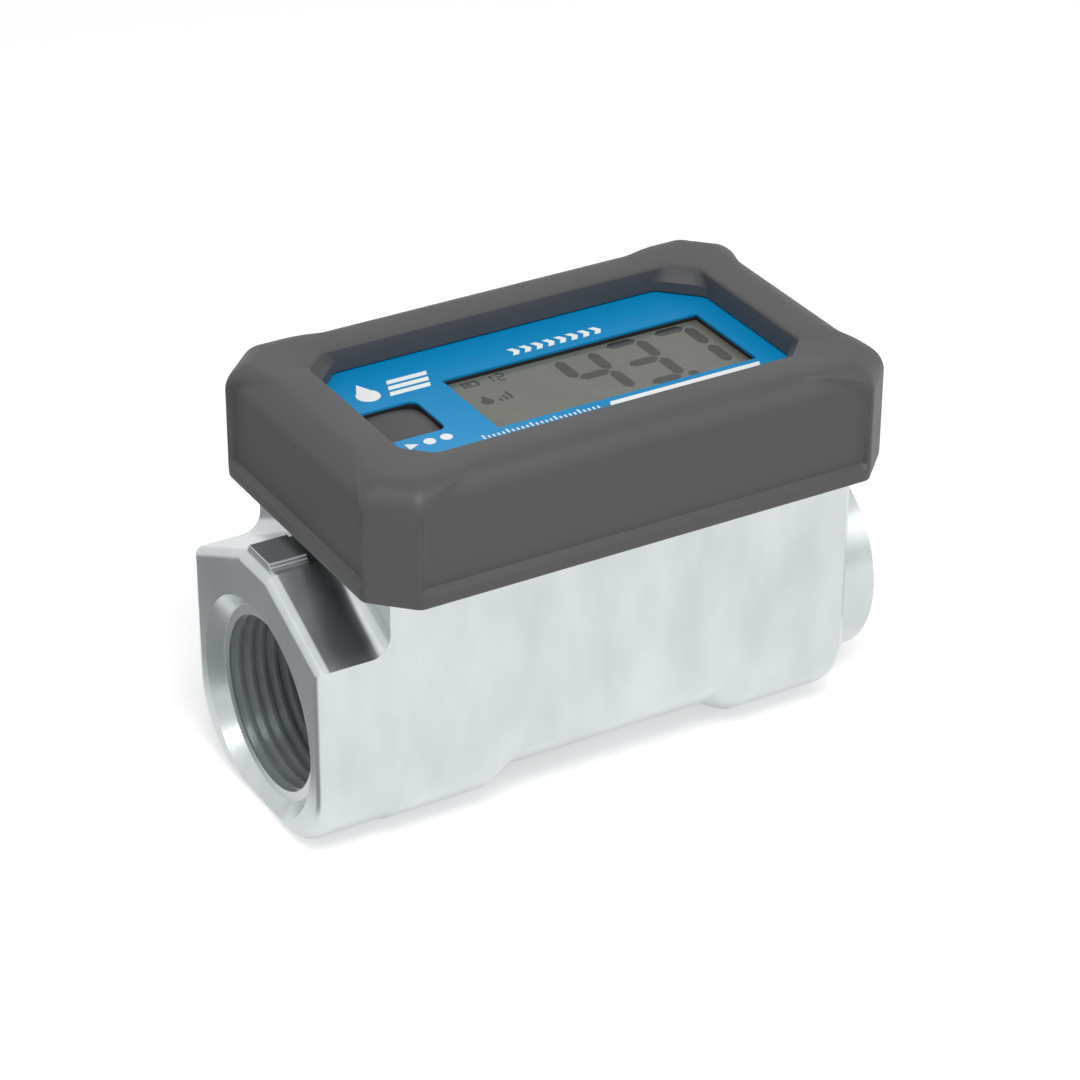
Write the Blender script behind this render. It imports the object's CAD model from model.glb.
import math
import bmesh
import bpy
from mathutils import Matrix, Vector


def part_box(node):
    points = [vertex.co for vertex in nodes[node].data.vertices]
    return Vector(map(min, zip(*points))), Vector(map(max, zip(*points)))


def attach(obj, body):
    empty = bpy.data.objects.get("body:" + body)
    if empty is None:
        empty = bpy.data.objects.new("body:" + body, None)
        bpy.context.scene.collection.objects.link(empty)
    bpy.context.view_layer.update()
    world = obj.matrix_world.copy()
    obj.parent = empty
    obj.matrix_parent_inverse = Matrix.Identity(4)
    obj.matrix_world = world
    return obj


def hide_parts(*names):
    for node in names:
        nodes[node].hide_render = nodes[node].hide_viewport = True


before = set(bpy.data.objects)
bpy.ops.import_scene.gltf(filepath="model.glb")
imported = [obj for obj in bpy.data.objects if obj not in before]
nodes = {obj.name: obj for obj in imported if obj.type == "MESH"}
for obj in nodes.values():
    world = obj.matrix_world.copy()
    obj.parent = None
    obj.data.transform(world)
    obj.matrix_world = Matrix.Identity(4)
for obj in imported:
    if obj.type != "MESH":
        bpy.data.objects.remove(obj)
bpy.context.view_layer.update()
mm = 0.001
shaftLow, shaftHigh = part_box("rotor_shaft")
axisHeight = (shaftLow.z + shaftHigh.z) / 2  # the flow axis above the floor, in metres
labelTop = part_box("face_label")[1].z / mm  # the printed face, in millimetres
print("frame loaded:", len(nodes), "nodes")


# materials
noiseLow, noiseHigh = 0.3, 0.7  # a noise pattern seldom leaves this range


def linearColour(code):
    parts = [int(code[i:i + 2], 16) / 255 for i in (1, 3, 5)]
    return [p / 12.92 if p <= 0.04045 else ((p + 0.055) / 1.055) ** 2.4 for p in parts] + [1.0]


def addNode(tree, kind, inputs=None, **settings):
    # inputs are values, or the sockets that feed them
    made = tree.nodes.new(kind)
    for name, value in settings.items():
        setattr(made, name, value)
    for socket, value in (inputs or {}).items():
        if isinstance(value, bpy.types.NodeSocket):
            tree.links.new(value, made.inputs[socket])
        else:
            made.inputs[socket].default_value = value
    return made


def startMaterial(name, **uniform):
    # the shader with its uniform values, and the place on the object that every pattern reads
    material = bpy.data.materials.new(name)
    material.use_nodes = True
    tree = material.node_tree
    shader = tree.nodes["Principled BSDF"]
    for socket, value in uniform.items():
        shader.inputs[socket.replace("_", " ")].default_value = value
    place = addNode(tree, "ShaderNodeTexCoord").outputs["Object"]
    return material, tree, shader, place


def perMetre(size):
    # how many features of this size, in millimetres, fit in a metre
    return 1000 / size


def castAluminium():
    # A356 cast in a die and tumbled: satin silver, a soft skin with faint clouds and fine pits
    material, tree, shader, place = startMaterial("castAluminium", Metallic=1.0)
    smear = addNode(tree, "ShaderNodeMapping", {"Vector": place, "Scale": (1.0, 1.0, 0.4)}).outputs[0]
    cloud = addNode(tree, "ShaderNodeTexNoise", {
        "Vector": smear, "Scale": perMetre(9.0), "Detail": 3.0, "Roughness": 0.5}).outputs[0]
    shade = addNode(tree, "ShaderNodeMapRange", {
        "Value": cloud, "From Min": noiseLow, "From Max": noiseHigh}).outputs[0]
    colour = addNode(tree, "ShaderNodeMix", {
        0: shade, 6: linearColour("#BCC2C4"), 7: linearColour("#CACFD0")}, data_type="RGBA").outputs[2]
    # the cut threads inside the ports are duller than the cast skin
    threadRadius, castRadius = 17.0 * mm, 17.3 * mm
    across = addNode(tree, "ShaderNodeMapping", {
        "Vector": place, "Scale": (0, 1, 1), "Location": (0, 0, -axisHeight)}).outputs[0]
    radius = addNode(tree, "ShaderNodeVectorMath", {0: across}, operation="LENGTH").outputs["Value"]
    bare = addNode(tree, "ShaderNodeMapRange", {
        "Value": radius, "From Min": threadRadius, "From Max": castRadius, "To Min": 0.7, "To Max": 1.0}).outputs[0]
    tree.links.new(bare, shader.inputs["Metallic"])
    tree.links.new(colour, shader.inputs["Base Color"])
    satin = addNode(tree, "ShaderNodeMapRange", {
        "Value": cloud, "From Min": noiseLow, "From Max": noiseHigh, "To Min": 0.22, "To Max": 0.28}).outputs[0]
    tree.links.new(satin, shader.inputs["Roughness"])
    pits = addNode(tree, "ShaderNodeTexNoise", {
        "Vector": place, "Scale": perMetre(0.7), "Detail": 2.0}).outputs[0]  # tumbling marks, drawn 0.7 mm across
    skin = addNode(tree, "ShaderNodeBump", {"Height": pits, "Distance": 0.006 * mm}).outputs[0]
    tree.links.new(skin, shader.inputs["Normal"])
    return material


def bootRubber():
    # moulded nitrile: charcoal, matt, with a fine spark-eroded grain from its mould
    material, tree, shader, place = startMaterial("bootRubber", Specular_IOR_Level=0.4)
    cloud = addNode(tree, "ShaderNodeTexNoise", {
        "Vector": place, "Scale": perMetre(14.0), "Detail": 3.0, "Roughness": 0.5}).outputs[0]
    colour = addNode(tree, "ShaderNodeMix", {
        0: cloud, 6: linearColour("#464647"), 7: linearColour("#4E4E4F")}, data_type="RGBA").outputs[2]
    tree.links.new(colour, shader.inputs["Base Color"])
    matt = addNode(tree, "ShaderNodeMapRange", {
        "Value": cloud, "From Min": noiseLow, "From Max": noiseHigh, "To Min": 0.44, "To Max": 0.54}).outputs[0]
    tree.links.new(matt, shader.inputs["Roughness"])
    grain = addNode(tree, "ShaderNodeTexNoise", {
        "Vector": place, "Scale": perMetre(0.45), "Detail": 2.0}).outputs[0]  # mould grain, about 0.1 mm in life
    skin = addNode(tree, "ShaderNodeBump", {"Height": grain, "Distance": 0.012 * mm}).outputs[0]
    tree.links.new(skin, shader.inputs["Normal"])
    return material


def mouldedPlastic(name, dark, light, roughness, grainSize=0.4, depth=0.01):
    # injection-moulded: even colour with a slight flow cloud and a fine mould texture
    material, tree, shader, place = startMaterial(name)
    cloud = addNode(tree, "ShaderNodeTexNoise", {
        "Vector": place, "Scale": perMetre(6.0), "Detail": 2.0}).outputs[0]
    colour = addNode(tree, "ShaderNodeMix", {
        0: cloud, 6: linearColour(dark), 7: linearColour(light)}, data_type="RGBA").outputs[2]
    tree.links.new(colour, shader.inputs["Base Color"])
    sheen = addNode(tree, "ShaderNodeMapRange", {
        "Value": cloud, "From Min": noiseLow, "From Max": noiseHigh,
        "To Min": roughness - 0.04, "To Max": roughness + 0.04}).outputs[0]
    tree.links.new(sheen, shader.inputs["Roughness"])
    grain = addNode(tree, "ShaderNodeTexNoise", {
        "Vector": place, "Scale": perMetre(grainSize), "Detail": 2.0}).outputs[0]
    skin = addNode(tree, "ShaderNodeBump", {"Height": grain, "Distance": depth * mm}).outputs[0]
    tree.links.new(skin, shader.inputs["Normal"])
    return material


def metal(name, dark, light, roughness, lay=(1, 1, 1)):
    # drawn or turned stock: fine lines along its lay
    material, tree, shader, place = startMaterial(name, Metallic=1.0)
    drawn = addNode(tree, "ShaderNodeMapping", {"Vector": place, "Scale": lay}).outputs[0]
    lines = addNode(tree, "ShaderNodeTexNoise", {
        "Vector": drawn, "Scale": perMetre(0.4), "Detail": 3.0}).outputs[0]
    colour = addNode(tree, "ShaderNodeMix", {
        0: lines, 6: linearColour(dark), 7: linearColour(light)}, data_type="RGBA").outputs[2]
    tree.links.new(colour, shader.inputs["Base Color"])
    sheen = addNode(tree, "ShaderNodeMapRange", {
        "Value": lines, "From Min": noiseLow, "From Max": noiseHigh,
        "To Min": roughness - 0.05, "To Max": roughness + 0.05}).outputs[0]
    tree.links.new(sheen, shader.inputs["Roughness"])
    skin = addNode(tree, "ShaderNodeBump", {"Height": lines, "Distance": 0.005 * mm}).outputs[0]
    tree.links.new(skin, shader.inputs["Normal"])
    return material


def labelPolyester():
    # screen-printed polyester film: blue ink under a satin hard coat, lighter towards the reader's left
    material, tree, shader, place = startMaterial("labelPolyester", Roughness=0.4, Specular_IOR_Level=0.12)
    fadeSlant, fadeStart, fadeEnd = 1.3, -62 * mm, -2 * mm
    axes = addNode(tree, "ShaderNodeSeparateXYZ", {"Vector": place}).outputs
    tilt = addNode(tree, "ShaderNodeMath", {
        0: axes[1], 1: fadeSlant, 2: axes[0]}, operation="MULTIPLY_ADD").outputs[0]
    fade = addNode(tree, "ShaderNodeMapRange", {
        "Value": tilt, "From Min": fadeStart, "From Max": fadeEnd}, interpolation_type="SMOOTHSTEP").outputs[0]
    colour = addNode(tree, "ShaderNodeMix", {
        0: fade, 6: linearColour("#3A9AD2"), 7: linearColour("#0585BE")}, data_type="RGBA").outputs[2]
    tree.links.new(colour, shader.inputs["Base Color"])
    grain = addNode(tree, "ShaderNodeTexNoise", {"Vector": place, "Scale": perMetre(0.6)}).outputs[0]
    skin = addNode(tree, "ShaderNodeBump", {"Height": grain, "Distance": 0.003 * mm}).outputs[0]
    tree.links.new(skin, shader.inputs["Normal"])
    return material


def liquidCrystal():
    # a reflective display under a polariser: grey-olive, glossy, with a browner strip past the last digit
    material, tree, shader, place = startMaterial("liquidCrystal", Roughness=0.25, Specular_IOR_Level=0.3)
    stripStart = 32.8 * mm
    axes = addNode(tree, "ShaderNodeSeparateXYZ", {"Vector": place}).outputs
    cloud = addNode(tree, "ShaderNodeTexNoise", {
        "Vector": place, "Scale": perMetre(7.0), "Detail": 2.0}).outputs[0]
    field = addNode(tree, "ShaderNodeMix", {
        0: cloud, 6: linearColour("#62645D"), 7: linearColour("#6D6F66")}, data_type="RGBA").outputs[2]
    strip = addNode(tree, "ShaderNodeMapRange", {
        "Value": axes[0], "From Min": stripStart, "From Max": stripStart + 1 * mm}).outputs[0]
    colour = addNode(tree, "ShaderNodeMix", {
        0: strip, 6: field, 7: linearColour("#5C584E")}, data_type="RGBA").outputs[2]
    tree.links.new(colour, shader.inputs["Base Color"])
    return material


def displayGlass():
    # soda-lime float glass, cut edges slightly green
    material, tree, shader, place = startMaterial("displayGlass", Roughness=0.06, IOR=1.52)
    shade = addNode(tree, "ShaderNodeTexNoise", {"Vector": place, "Scale": perMetre(5.0)}).outputs[0]
    colour = addNode(tree, "ShaderNodeMix", {
        0: shade, 6: linearColour("#8C9389"), 7: linearColour("#979C92")}, data_type="RGBA").outputs[2]
    tree.links.new(colour, shader.inputs["Base Color"])
    return material


def boardLaminate():
    # FR-4 with green solder mask: the weave shows faintly through the mask
    material, tree, shader, place = startMaterial("boardLaminate", Coat_Weight=0.3, Coat_Roughness=0.2)
    weave = addNode(tree, "ShaderNodeTexChecker", {"Vector": place, "Scale": perMetre(1.0)}).outputs[1]
    colour = addNode(tree, "ShaderNodeMix", {
        0: weave, 6: linearColour("#1A5A34"), 7: linearColour("#1E6339")}, data_type="RGBA").outputs[2]
    tree.links.new(colour, shader.inputs["Base Color"])
    cloud = addNode(tree, "ShaderNodeTexNoise", {"Vector": place, "Scale": perMetre(1.0)}).outputs[0]
    sheen = addNode(tree, "ShaderNodeMapRange", {"Value": cloud, "To Min": 0.3, "To Max": 0.5}).outputs[0]
    tree.links.new(sheen, shader.inputs["Roughness"])
    return material


print("materials: cast metal, rubber, plastics, print")
finishes = {
    "meter_body": castAluminium(),
    "rubber_boot": bootRubber(),
    "computer_housing": mouldedPlastic("glassNylon", "#1C1C1E", "#232325", 0.5),
    "face_label": labelPolyester(),
    "lcd_polariser": liquidCrystal(),
    "lcd_glass": displayGlass(),
    "display_button": mouldedPlastic("keySilicone", "#403F40", "#4A494A", 0.55, 0.5, 0.012),
    "inlet_support": mouldedPlastic("blackAcetal", "#1B1B1C", "#242425", 0.4),
    "rotor": mouldedPlastic("whiteAcetal", "#D8D8D3", "#E2E2DE", 0.35),
    "inlet_retaining_ring": metal("springSteel", "#A9ABAC", "#C3C5C6", 0.28),
    "rotor_bushes": metal("sinteredBronze", "#8C6A3E", "#A88250", 0.45),
    "housing_gasket": mouldedPlastic("sealRubber", "#18181A", "#202022", 0.6),
    "circuit_board": boardLaminate(),
    "board_components": mouldedPlastic("mouldedEpoxy", "#161617", "#1E1E20", 0.5),
    "battery_cells": metal("cellJacket", "#2C2C2F", "#3A3A3E", 0.35, (0.1, 1, 1)),
    "pickup_winding": metal("enamelledCopper", "#9C4F28", "#BB6A3A", 0.3, (1, 1, 8)),
}
alike = {
    "computer_housing": ("housing_cover", "battery_tray"),
    "lcd_glass": ("lcd_rear_glass",),
    "inlet_support": ("outlet_support",),
    "rotor": ("lcd_frame", "switch_plunger", "pickup_bobbin"),
    "inlet_retaining_ring": ("outlet_retaining_ring", "rotor_slugs", "rotor_shaft", "thrust_washers",
                             "cover_screws", "board_screws", "battery_contacts", "coil_pins"),
    "housing_gasket": ("lcd_connectors",),
    "board_components": ("button_switch",),
}
for first, others in alike.items():
    for other in others:
        finishes[other] = finishes[first]


def dress(piece, material):
    piece.data.materials.clear()
    piece.data.materials.append(material)


def addPiece(name, bm, material):
    # the finished shape becomes an object of the scene
    mesh = bpy.data.meshes.new(name)
    bm.to_mesh(mesh)
    bm.free()
    piece = bpy.data.objects.new(name, mesh)
    bpy.context.scene.collection.objects.link(piece)
    dress(piece, material)
    return piece


for name, material in finishes.items():
    dress(nodes[name], material)
print("finishes on", len(finishes), "nodes, left over:", sorted(set(nodes) - set(finishes)))


# the rubber boot, drawn as rings from its lower edge over the shoulder and down through the window
boot = {
    "corner": 7.0, "crease": 0.8, "sideCuts": (110, 62, 5),
    "foot": ((0.0, 0.4), (0.15, 0.15), (0.5, 0.05), (1.4, 0.0), (2.3, 0.0), (3.2, 0.0), (8.0, 0.0), (12.0, 0.0)),
    "shoulder": 5.0, "steps": 14, "rim": 0.5,
    "window": (38.1, 19.95), "windowCut": 4.4, "windowEdge": 0.6, "edgeSteps": 3,
    "windowStep": 2.6, "windowLedge": 0.3, "windowCutLow": 6.6, "labelGap": 0.3,
    "gap": 0.3, "housingCut": 6.1, "lipDrop": 0.3,
    "throat": (44.8, 25.2), "throatCut": 1.2, "throatCrease": 0.3,
    "scoop": 1.2, "scoopReach": (42.9, 24.2), "scoopSoft": 1.1, "band": 2.3, "bandSoft": 0.9,
    "lean": 9.0, "leanStart": 5.4, "leanSoft": 6.0, "leanShare": (1.0, 0.6), "creaseAngle": 33,
}
bootLow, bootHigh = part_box("rubber_boot")
bootMiddle = (bootLow.x + bootHigh.x) / 2 / mm
bootHalf = ((bootHigh.x - bootLow.x) / 2 / mm, (bootHigh.y - bootLow.y) / 2 / mm)
bootBottom, bootTop = bootLow.z / mm, bootHigh.z / mm


def turnOf(place):
    # the angle round the boot's middle, by which rings are matched
    return math.atan2(place.y, place.x - bootMiddle * mm) % (2 * math.pi)


def sideKind(side):
    # 0 runs along the boot, 1 runs across it, 2 cuts a corner
    span = side.verts[1].co - side.verts[0].co
    along, across = abs(span.x), abs(span.y)
    slanted = 5 * min(along, across) >= max(along, across)
    return 2 if slanted else int(across > along)


def bootRing(halfX, halfY, cut, height, crease=boot["crease"]):
    # an octagon with rounded corners, its long sides divided so that the scoops can be pressed in
    shape = bmesh.new()
    quarter = [(halfX, halfY - cut), (halfX - cut, halfY)]
    points = quarter + [(-x, y) for x, y in quarter[::-1]]
    points += [(-x, -y) for x, y in points]
    face = shape.faces.new([shape.verts.new(((bootMiddle + x) * mm, y * mm, height * mm)) for x, y in points])
    bmesh.ops.bevel(shape, geom=list(face.verts), offset=crease * mm, affect="VERTICES", segments=3, profile=0.5,
                    material=-1)
    bmesh.ops.delete(shape, geom=list(shape.faces), context="FACES_ONLY")
    sides = sorted(shape.edges, key=lambda e: -e.calc_length())[:8]
    kinds = [sideKind(e) for e in sides]
    for kind, cuts in enumerate(boot["sideCuts"]):
        bmesh.ops.subdivide_edges(shape, edges=[e for e, k in zip(sides, kinds) if k == kind], cuts=cuts)
    return shape


def outerRing(inset, height):
    # the outline drawn in by an even amount on all eight sides
    cut = boot["corner"] - (2 - math.sqrt(2)) * inset
    return bootRing(bootHalf[0] - inset, bootHalf[1] - inset, cut, height)


def easeIn(value):
    # rises softly from 0 to 1
    value = min(max(value, 0), 1)
    return value * value * (3 - 2 * value)


# outside: the foot, the side, the rounded shoulder and the rim
rings = [outerRing(inset, bootBottom + rise) for rise, inset in boot["foot"]]
bend = boot["shoulder"]
for i in range(boot["steps"] + 1):
    angle = math.pi / 2 * i / boot["steps"]
    rings.append(outerRing(bend * (1 - math.cos(angle)), bootTop - bend * (1 - math.sin(angle))))
rings.append(outerRing(bend + boot["rim"], bootTop))
outerCount = len(rings)

# inside: the window's rounded edge, its sloping corners, the room for the housing and the throat
windowX, windowY = boot["window"]
edge = boot["windowEdge"]
for i in range(boot["edgeSteps"] + 1):
    angle = math.pi / 2 * i / boot["edgeSteps"]
    wide = edge * (1 - math.sin(angle))
    rings.append(bootRing(windowX + wide, windowY + wide, boot["windowCut"], bootTop - edge * (1 - math.cos(angle))))
step = bootTop - boot["windowStep"]
underWeb = labelTop + boot["labelGap"]
for height in (step, step - boot["windowLedge"], underWeb):
    rings.append(bootRing(windowX, windowY, boot["windowCutLow"], height))
housingLow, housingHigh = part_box("computer_housing")
roomX = (housingHigh.x - housingLow.x) / 2 / mm + boot["gap"]
roomY = (housingHigh.y - housingLow.y) / 2 / mm + boot["gap"]
lip = housingLow.z / mm - boot["lipDrop"]
for height in (underWeb, lip):
    rings.append(bootRing(roomX, roomY, boot["housingCut"], height))
for height in (lip, bootBottom):
    rings.append(bootRing(*boot["throat"], boot["throatCut"], height, boot["throatCrease"]))

# each ring is grown from the last one, and the last one closes on the first
bm = rings[0].copy()
outside = bm.verts.layers.int.new("outside")
grown = list(bm.edges)
for v in bm.verts:
    v[outside] = 1
for count, ring in enumerate(rings[1:] + rings[:1], 1):
    geom = bmesh.ops.extrude_edge_only(bm, edges=grown)["geom"]
    fresh = sorted((g for g in geom if isinstance(g, bmesh.types.BMVert)), key=lambda v: turnOf(v.co))
    for v, place in zip(fresh, sorted((v.co.copy() for v in ring.verts), key=turnOf)):
        v.co = place
        v[outside] = int(count < outerCount)
    moved = set(fresh)
    grown = [g for g in geom if isinstance(g, bmesh.types.BMEdge) and moved.issuperset(g.verts)]
for v in fresh:
    v[outside] = 1  # these lie on the first ring and are joined to it
bmesh.ops.remove_doubles(bm, verts=bm.verts, dist=0.001 * mm)
for ring in rings:
    ring.free()

# a shallow scoop in each side: it leaves a band at the foot and draws in over the shoulder
for v in (v for v in bm.verts if v[outside]):
    x, y, z = v.co.x / mm - bootMiddle, v.co.y / mm, v.co.z / mm
    over = max(z - (bootTop - boot["leanStart"]), 0) / boot["leanStart"]
    lean = boot["lean"] * over ** 3
    depth = boot["scoop"] * easeIn((z - bootBottom - boot["band"]) / boot["bandSoft"])
    soft = boot["scoopSoft"] + over * boot["leanSoft"]
    reachX, reachY = (reach - lean * share for reach, share in zip(boot["scoopReach"], boot["leanShare"]))
    if bootHalf[1] - abs(y) < bootHalf[0] - abs(x):
        v.co.y -= math.copysign(depth * easeIn((reachX - abs(x)) / soft) * mm, y)
    else:
        v.co.x -= math.copysign(depth * easeIn((reachY - abs(y)) / soft) * mm, x)
bmesh.ops.recalc_face_normals(bm, faces=list(bm.faces))
for e in bm.edges:
    e.smooth = e.calc_face_angle(0) < math.radians(boot["creaseAngle"])
for f in bm.faces:
    f.smooth = True
bootShell = addPiece("bootShell", bm, finishes["rubber_boot"])
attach(bootShell, "meter")
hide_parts("rubber_boot")
print("boot:", len(bootShell.data.vertices), "vertices")


# the stepped pad left by the mould on the inlet boss's crown
crownPad = {"length": 7.0, "width": 8.6, "steps": 3, "rise": 0.5, "tread": 0.35, "sink": 0.4, "edge": 0.12,
            "start": 1.4, "crown": 27.6}
padBase = axisHeight / mm + crownPad["crown"]
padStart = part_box("meter_body")[0].x / mm + crownPad["start"]
side = [(-crownPad["width"] / 2, padBase - crownPad["sink"])]
for i in range(crownPad["steps"]):
    y = i * crownPad["tread"] - crownPad["width"] / 2
    side += [(y, padBase + i * crownPad["rise"]), (y, padBase + (i + 1) * crownPad["rise"])][i == 0:]
side += [(-y, z) for y, z in reversed(side)]
bm = bmesh.new()
bm.faces.new([bm.verts.new((padStart * mm, y * mm, z * mm)) for y, z in side])
grown = bmesh.ops.extrude_face_region(bm, geom=list(bm.faces))
bmesh.ops.translate(bm, vec=(crownPad["length"] * mm, 0, 0),
                    verts=[v for v in grown["geom"] if isinstance(v, bmesh.types.BMVert)])
bmesh.ops.recalc_face_normals(bm, faces=list(bm.faces))
bmesh.ops.bevel(bm, geom=list(bm.edges), offset=crownPad["edge"] * mm, affect="EDGES", segments=2, profile=0.5,
                material=-1)
padPiece = addPiece("crownPad", bm, finishes["meter_body"])
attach(padPiece, "meter")
print("crown pad:", len(padPiece.data.vertices), "vertices")


# thin printed and lit shapes, from flat outlines in millimetres
printSink = 0.01  # each starts this far inside the surface that carries it


def stampPiece(name, outlines, surface, rise, material, body, rounding=0.0):
    # raised off the surface, with its corners rounded where it says so
    bm = bmesh.new()
    for outline in outlines:
        bm.faces.new([bm.verts.new((x * mm, y * mm, (surface - printSink) * mm)) for x, y in outline])
    if rounding:
        bmesh.ops.bevel(bm, geom=list(bm.verts), offset=rounding * mm, affect="VERTICES", segments=3,
                        profile=0.5, material=-1)
    raised = bmesh.ops.extrude_face_region(bm, geom=list(bm.faces))
    bmesh.ops.translate(bm, vec=(0, 0, rise * mm),
                        verts=[v for v in raised["geom"] if isinstance(v, bmesh.types.BMVert)])
    bmesh.ops.recalc_face_normals(bm, faces=list(bm.faces))
    piece = addPiece(name, bm, material)
    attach(piece, body)


def bar(x0, y0, x1, y1, lean=0):
    # four corners, the upper two moved along by the lean
    return [(x0, y0), (x1, y0), (x1 + lean, y1), (x0 + lean, y1)]


def ringPoints(x, y, radius, count=24):
    return [(x + radius * math.cos(2 * math.pi * i / count), y + radius * math.sin(2 * math.pi * i / count))
            for i in range(count)]


def dropPoints(x, y, radius, count=20, start=130, sweep=280, tip=2.1):
    # a round drop: an arc in degrees that leaves room at the top for a point, given in radii
    angles = [math.radians(start + sweep * i / (count - 1)) for i in range(count)]
    arc = [(x + radius * math.cos(angle), y + radius * math.sin(angle)) for angle in angles]
    return arc + [(x, y + radius * tip)]


def segment(x0, y0, x1, y1, stroke):
    # one six-cornered bar between two joints of a digit
    half = stroke / 2
    if abs(x1 - x0) > abs(y1 - y0):
        return [(x0, y0), (x0 + half, y0 - half), (x1 - half, y1 - half), (x1, y1), (x1 - half, y1 + half),
                (x0 + half, y0 + half)]
    return [(x0, y0), (x0 + half, y0 + half), (x1 + half, y1 - half), (x1, y1), (x1 - half, y1 - half),
            (x0 - half, y0 + half)]


def digitBars(left, width, low, high, stroke, gap, shown):
    # the named bars of a seven-segment digit
    half = stroke / 2
    x0, x1 = left + half, left + width - half
    y0, y2 = low + half, high - half
    y1 = (y0 + y2) / 2
    bars = {
        "a": (x0 + gap, y2, x1 - gap, y2), "g": (x0 + gap, y1, x1 - gap, y1), "d": (x0 + gap, y0, x1 - gap, y0),
        "f": (x0, y1 + gap, x0, y2 - gap), "b": (x1, y1 + gap, x1, y2 - gap),
        "e": (x0, y0 + gap, x0, y1 - gap), "c": (x1, y0 + gap, x1, y1 - gap),
    }
    return [segment(*bars[key], stroke) for key in shown]


# the display: three digits and a point
display = {
    "lefts": (4.9, 14.6, 24.3), "width": 8.6, "low": -8.6, "high": 8.4, "stroke": 2.1, "gap": 0.28,
    "shown": ("bcfg", "abcdg", "abc"), "point": (24.0, -8.0, 0.95), "film": 0.03, "rounding": 0.35,
}
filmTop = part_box("lcd_polariser")[1].z / mm
lit, unlit = [], []
for left, shown in zip(display["lefts"], display["shown"]):
    sizes = (left, display["width"], display["low"], display["high"], display["stroke"], display["gap"])
    lit += digitBars(*sizes, shown)
    unlit += digitBars(*sizes, [key for key in "abcdefg" if key not in shown])
film, rounding = display["film"], display["rounding"]
inkDark = mouldedPlastic("litSegment", "#242621", "#2A2C27", 0.3, 2.0, 0.0005)
inkFaint = mouldedPlastic("unlitSegment", "#5F615A", "#676961", 0.3, 2.0, 0.0005)
stampPiece("lcdDigits", lit, filmTop, film, inkDark, "meter", rounding)
stampPiece("lcdPoint", [ringPoints(*display["point"])], filmTop, film, inkDark, "meter")
stampPiece("lcdUnlit", unlit, filmTop, film / 2, inkFaint, "meter", rounding)

# the small signs at the display's left: a counter, a cell and a drop with its level
signs = {
    "counter": (-8.2, 5.6, 1.7, 2.8, 0.34), "counterSpace": 0.7, "counterGap": 0.06,
    "cell": (-12.3, 6.1, 2.9, 1.8), "line": 0.34, "pole": (0.35, 0.55), "charge": (0.6, 1.6),
    "drop": (-11.2, 0.3, 1.1), "level": (-9.2, -0.7, 0.55, 3, 1.0), "levelRise": (1.0, 0.8),
}
marks = []
x, y, wide, tall, stroke = signs["counter"]
for i, shown in enumerate(("bc", "abged")):
    left = x + i * (wide + signs["counterSpace"])
    marks += digitBars(left, wide, y, y + tall, stroke, signs["counterGap"], shown)
x0, y0, wide, tall = signs["cell"]
x1, y1, line = x0 + wide, y0 + tall, signs["line"]
pole, poleInset = signs["pole"]
inset, charge = signs["charge"]
marks += [
    bar(x0, y0, x1, y0 + line),
    bar(x0, y1 - line, x1, y1),
    bar(x0, y0 + line, x0 + line, y1 - line),
    bar(x1 - line, y0 + line, x1, y1 - line),
    bar(x1, y0 + poleInset, x1 + pole, y1 - poleInset),
    bar(x0 + inset, y0 + inset, x0 + charge, y1 - inset),
    dropPoints(*signs["drop"]),
]
x, y, wide, count, pitch = signs["level"]
first, rise = signs["levelRise"]
marks += [bar(x + i * pitch, y, x + i * pitch + wide, y + first + rise * i) for i in range(count)]
stampPiece("lcdSigns", marks, filmTop, film, inkDark, "meter")
print("display digits and signs")

# white print on the label
printed = {
    "drop": (-28.4, 10.2, 2.1), "waves": (-25.2, 8.3, 7.6, 1.25, 1.95), "waveCount": 3, "waveLean": (0.7, 0.5),
    "chevrons": (-0.2, 11.0, 8, 2.3, 1.15, 2.4), "nose": 0.75,
    "ticks": (-19.0, -12.5, 25, 0.9, 0.34), "tickHeights": (1.3, 0.8), "tickGroup": 5,
    "bar": (4.6, -13.1, 34.0, -11.45, 0.8), "keyRow": (-30.2, -8.7, 1.05), "keyPitch": 3.1, "film": 0.03,
}
prints = [dropPoints(*printed["drop"])]
x, y, wide, tall, pitch = printed["waves"]
shift, lean = printed["waveLean"]
for i in range(printed["waveCount"]):
    left, low = x + i * shift, y + i * pitch
    prints.append(bar(left, low, left + wide, low + tall, lean))
x, y, count, pitch, thick, tall = printed["chevrons"]
nose = printed["nose"]
for i in range(count):
    left = x + i * pitch
    right = left + thick
    prints.append([(left, y), (right, y), (right + nose, y + tall / 2), (right, y + tall), (left, y + tall),
                   (left + nose, y + tall / 2)])
x, y, count, pitch, thick = printed["ticks"]
for i in range(count):
    tall = printed["tickHeights"][int(i % printed["tickGroup"] > 0)]
    prints.append(bar(x + i * pitch, y, x + i * pitch + thick, y + tall))
prints.append(bar(*printed["bar"]))
x, y, radius = printed["keyRow"]
prints.append([(x - radius, y - radius), (x + radius, y), (x - radius, y + radius)])
prints += [ringPoints(x + printed["keyPitch"] * i, y, radius) for i in (1, 2)]
inkWhite = mouldedPlastic("whiteInk", "#E6E9EA", "#F2F4F4", 0.4, 0.6, 0.002)
stampPiece("labelPrint", prints, labelTop, printed["film"], inkWhite, "meter")
print("label print")


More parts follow.
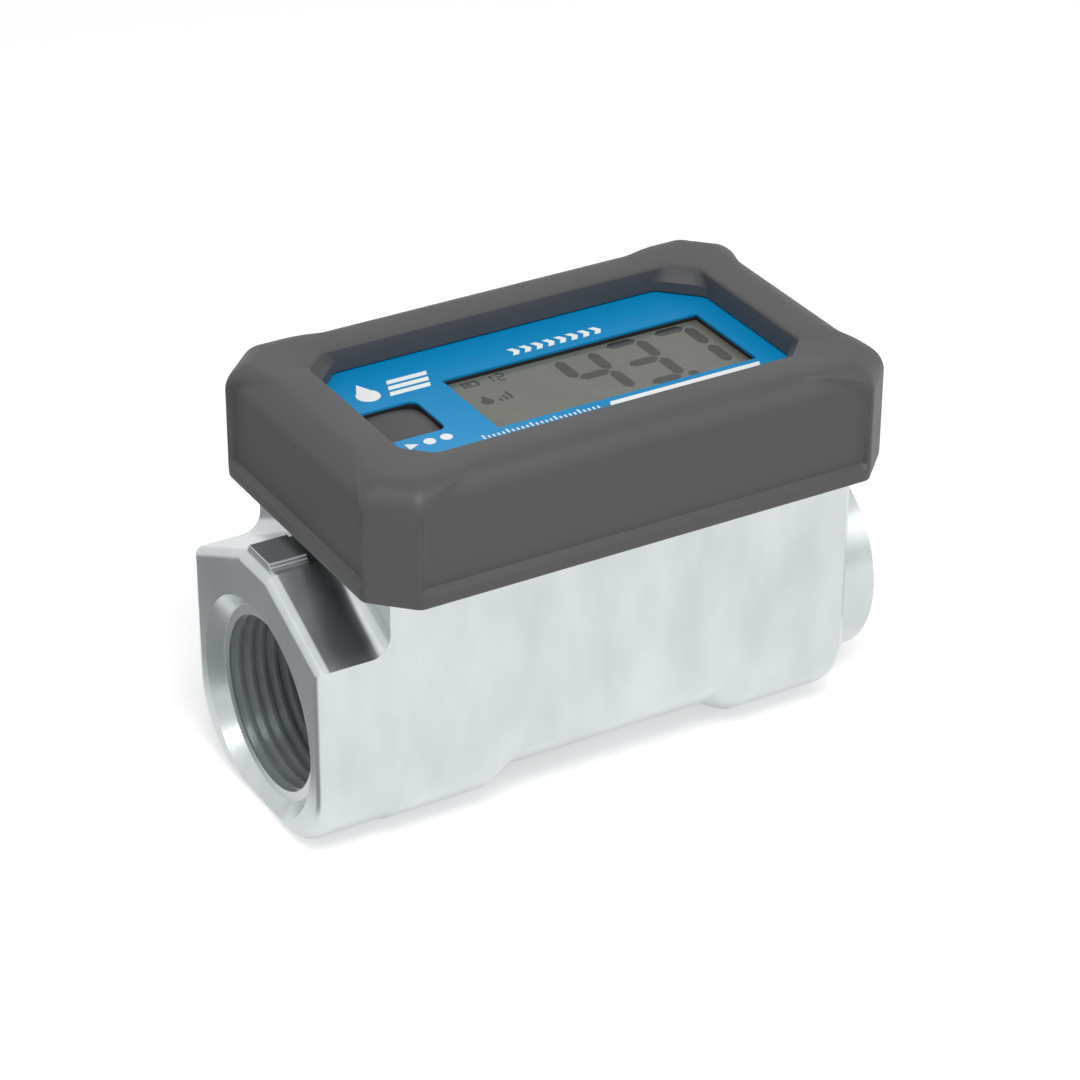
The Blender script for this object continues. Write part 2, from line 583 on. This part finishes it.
# floor, card, world and lamps
studio = {"floor": 6.0, "floorGlow": 0.42, "worldLight": 0.40, "card": 0.24, "cardPlace": (-0.185, 0.10, 0.001)}
lamps = {
    "keySoftbox": {"place": (-0.12, -0.40, 0.72), "aim": (0, 0, 0.04), "size": (0.36, 0.30), "power": 3.7},
    "stripSoftbox": {"place": (-0.60, -0.05, 0.42), "aim": (0, 0, 0.03), "size": (0.08, 0.50), "power": 0.5},
    "fillSoftbox": {"place": (0.7, -0.5, 0.45), "aim": (0, 0, 0.04), "size": (0.6, 0.5), "power": 1.1},
}


def plainPlane(name, size, place, material):
    # a square, level plane
    bm = bmesh.new()
    bmesh.ops.create_grid(bm, x_segments=1, y_segments=1, size=size / 2)
    made = addPiece(name, bm, material)
    made.location = place
    return made


def raySeen(tree, *kinds):
    # 1 for a ray of any of these kinds, otherwise 0
    path = addNode(tree, "ShaderNodeLightPath").outputs
    seen = path[kinds[0]]
    for kind in kinds[1:]:
        seen = addNode(tree, "ShaderNodeMath", {0: seen, 1: path[kind]}, operation="MAXIMUM").outputs[0]
    return seen


def softLamp(name, place, aim, size, power):
    data = bpy.data.lights.new(name, "AREA")
    data.shape = "RECTANGLE"
    data.size, data.size_y = size
    data.energy = power
    lamp = bpy.data.objects.new(name, data)
    lamp.location = place
    lamp.rotation_euler = (Vector(aim) - Vector(place)).to_track_quat("-Z", "Y").to_euler()
    bpy.context.scene.collection.objects.link(lamp)


floorMaterial, tree, shader, _ = startMaterial("paleStudioFloor", Roughness=0.9)
shader.inputs["Base Color"].default_value = linearColour("#E9E9E9")
shader.inputs["Emission Color"].default_value = linearColour("#FFFFFF")
seen = raySeen(tree, "Is Camera Ray", "Is Glossy Ray", "Is Transmission Ray")
glow = addNode(tree, "ShaderNodeMath", {0: seen, 1: studio["floorGlow"]}, operation="MULTIPLY").outputs[0]
tree.links.new(glow, shader.inputs["Emission Strength"])
floor = plainPlane("studioFloor", studio["floor"], (0, 0, 0), floorMaterial)

# a grey card on the floor behind the inlet end, which the bare metal there reflects
cardMaterial, tree, shader, _ = startMaterial("greyCard", Roughness=0.9)
shader.inputs["Base Color"].default_value = linearColour("#A6A8AA")
card = plainPlane("greyCard", studio["card"], studio["cardPlace"], cardMaterial)
card.visible_camera = False
card.visible_shadow = False
card.visible_diffuse = False

world = bpy.data.worlds.new("studioWorld")
bpy.context.scene.world = world
world.use_nodes = True
tree = world.node_tree
strength = addNode(tree, "ShaderNodeMapRange", {
    "Value": raySeen(tree, "Is Camera Ray", "Is Glossy Ray"), "To Min": studio["worldLight"], "To Max": 1.0}).outputs[0]
background = tree.nodes["Background"]
background.inputs["Color"].default_value = (1, 1, 1, 1)
tree.links.new(strength, background.inputs["Strength"])
for name, lamp in lamps.items():
    softLamp(name, **lamp)
print("floor, card, world and lamps")

# camera: the reader's side, from above and the left
view = {"azimuth": -30.30444, "elevation": 29.97075, "roll": 0.23002, "lens": 123.073, "sensor": 36,
        "place": (-277.35, -472.42, 351.99)}
turn, rise, roll = (math.radians(view[key]) for key in ("azimuth", "elevation", "roll"))
back = Vector((math.sin(turn) * math.cos(rise), -math.cos(turn) * math.cos(rise), math.sin(rise)))
right = Vector((0, 0, 1)).cross(back).normalized()
up = back.cross(right)
right, up = right * math.cos(roll) + up * math.sin(roll), up * math.cos(roll) - right * math.sin(roll)
cameraData = bpy.data.cameras.new("camera")
cameraData.sensor_width = view["sensor"]
cameraData.lens = view["lens"]
camera = bpy.data.objects.new("camera", cameraData)
camera.matrix_world = Matrix.Translation(Vector(view["place"]) * mm) @ Matrix((right, up, back)).transposed().to_4x4()
bpy.context.scene.collection.objects.link(camera)
bpy.context.scene.camera = camera
bpy.context.scene.view_settings.view_transform = "Standard"
print("camera")
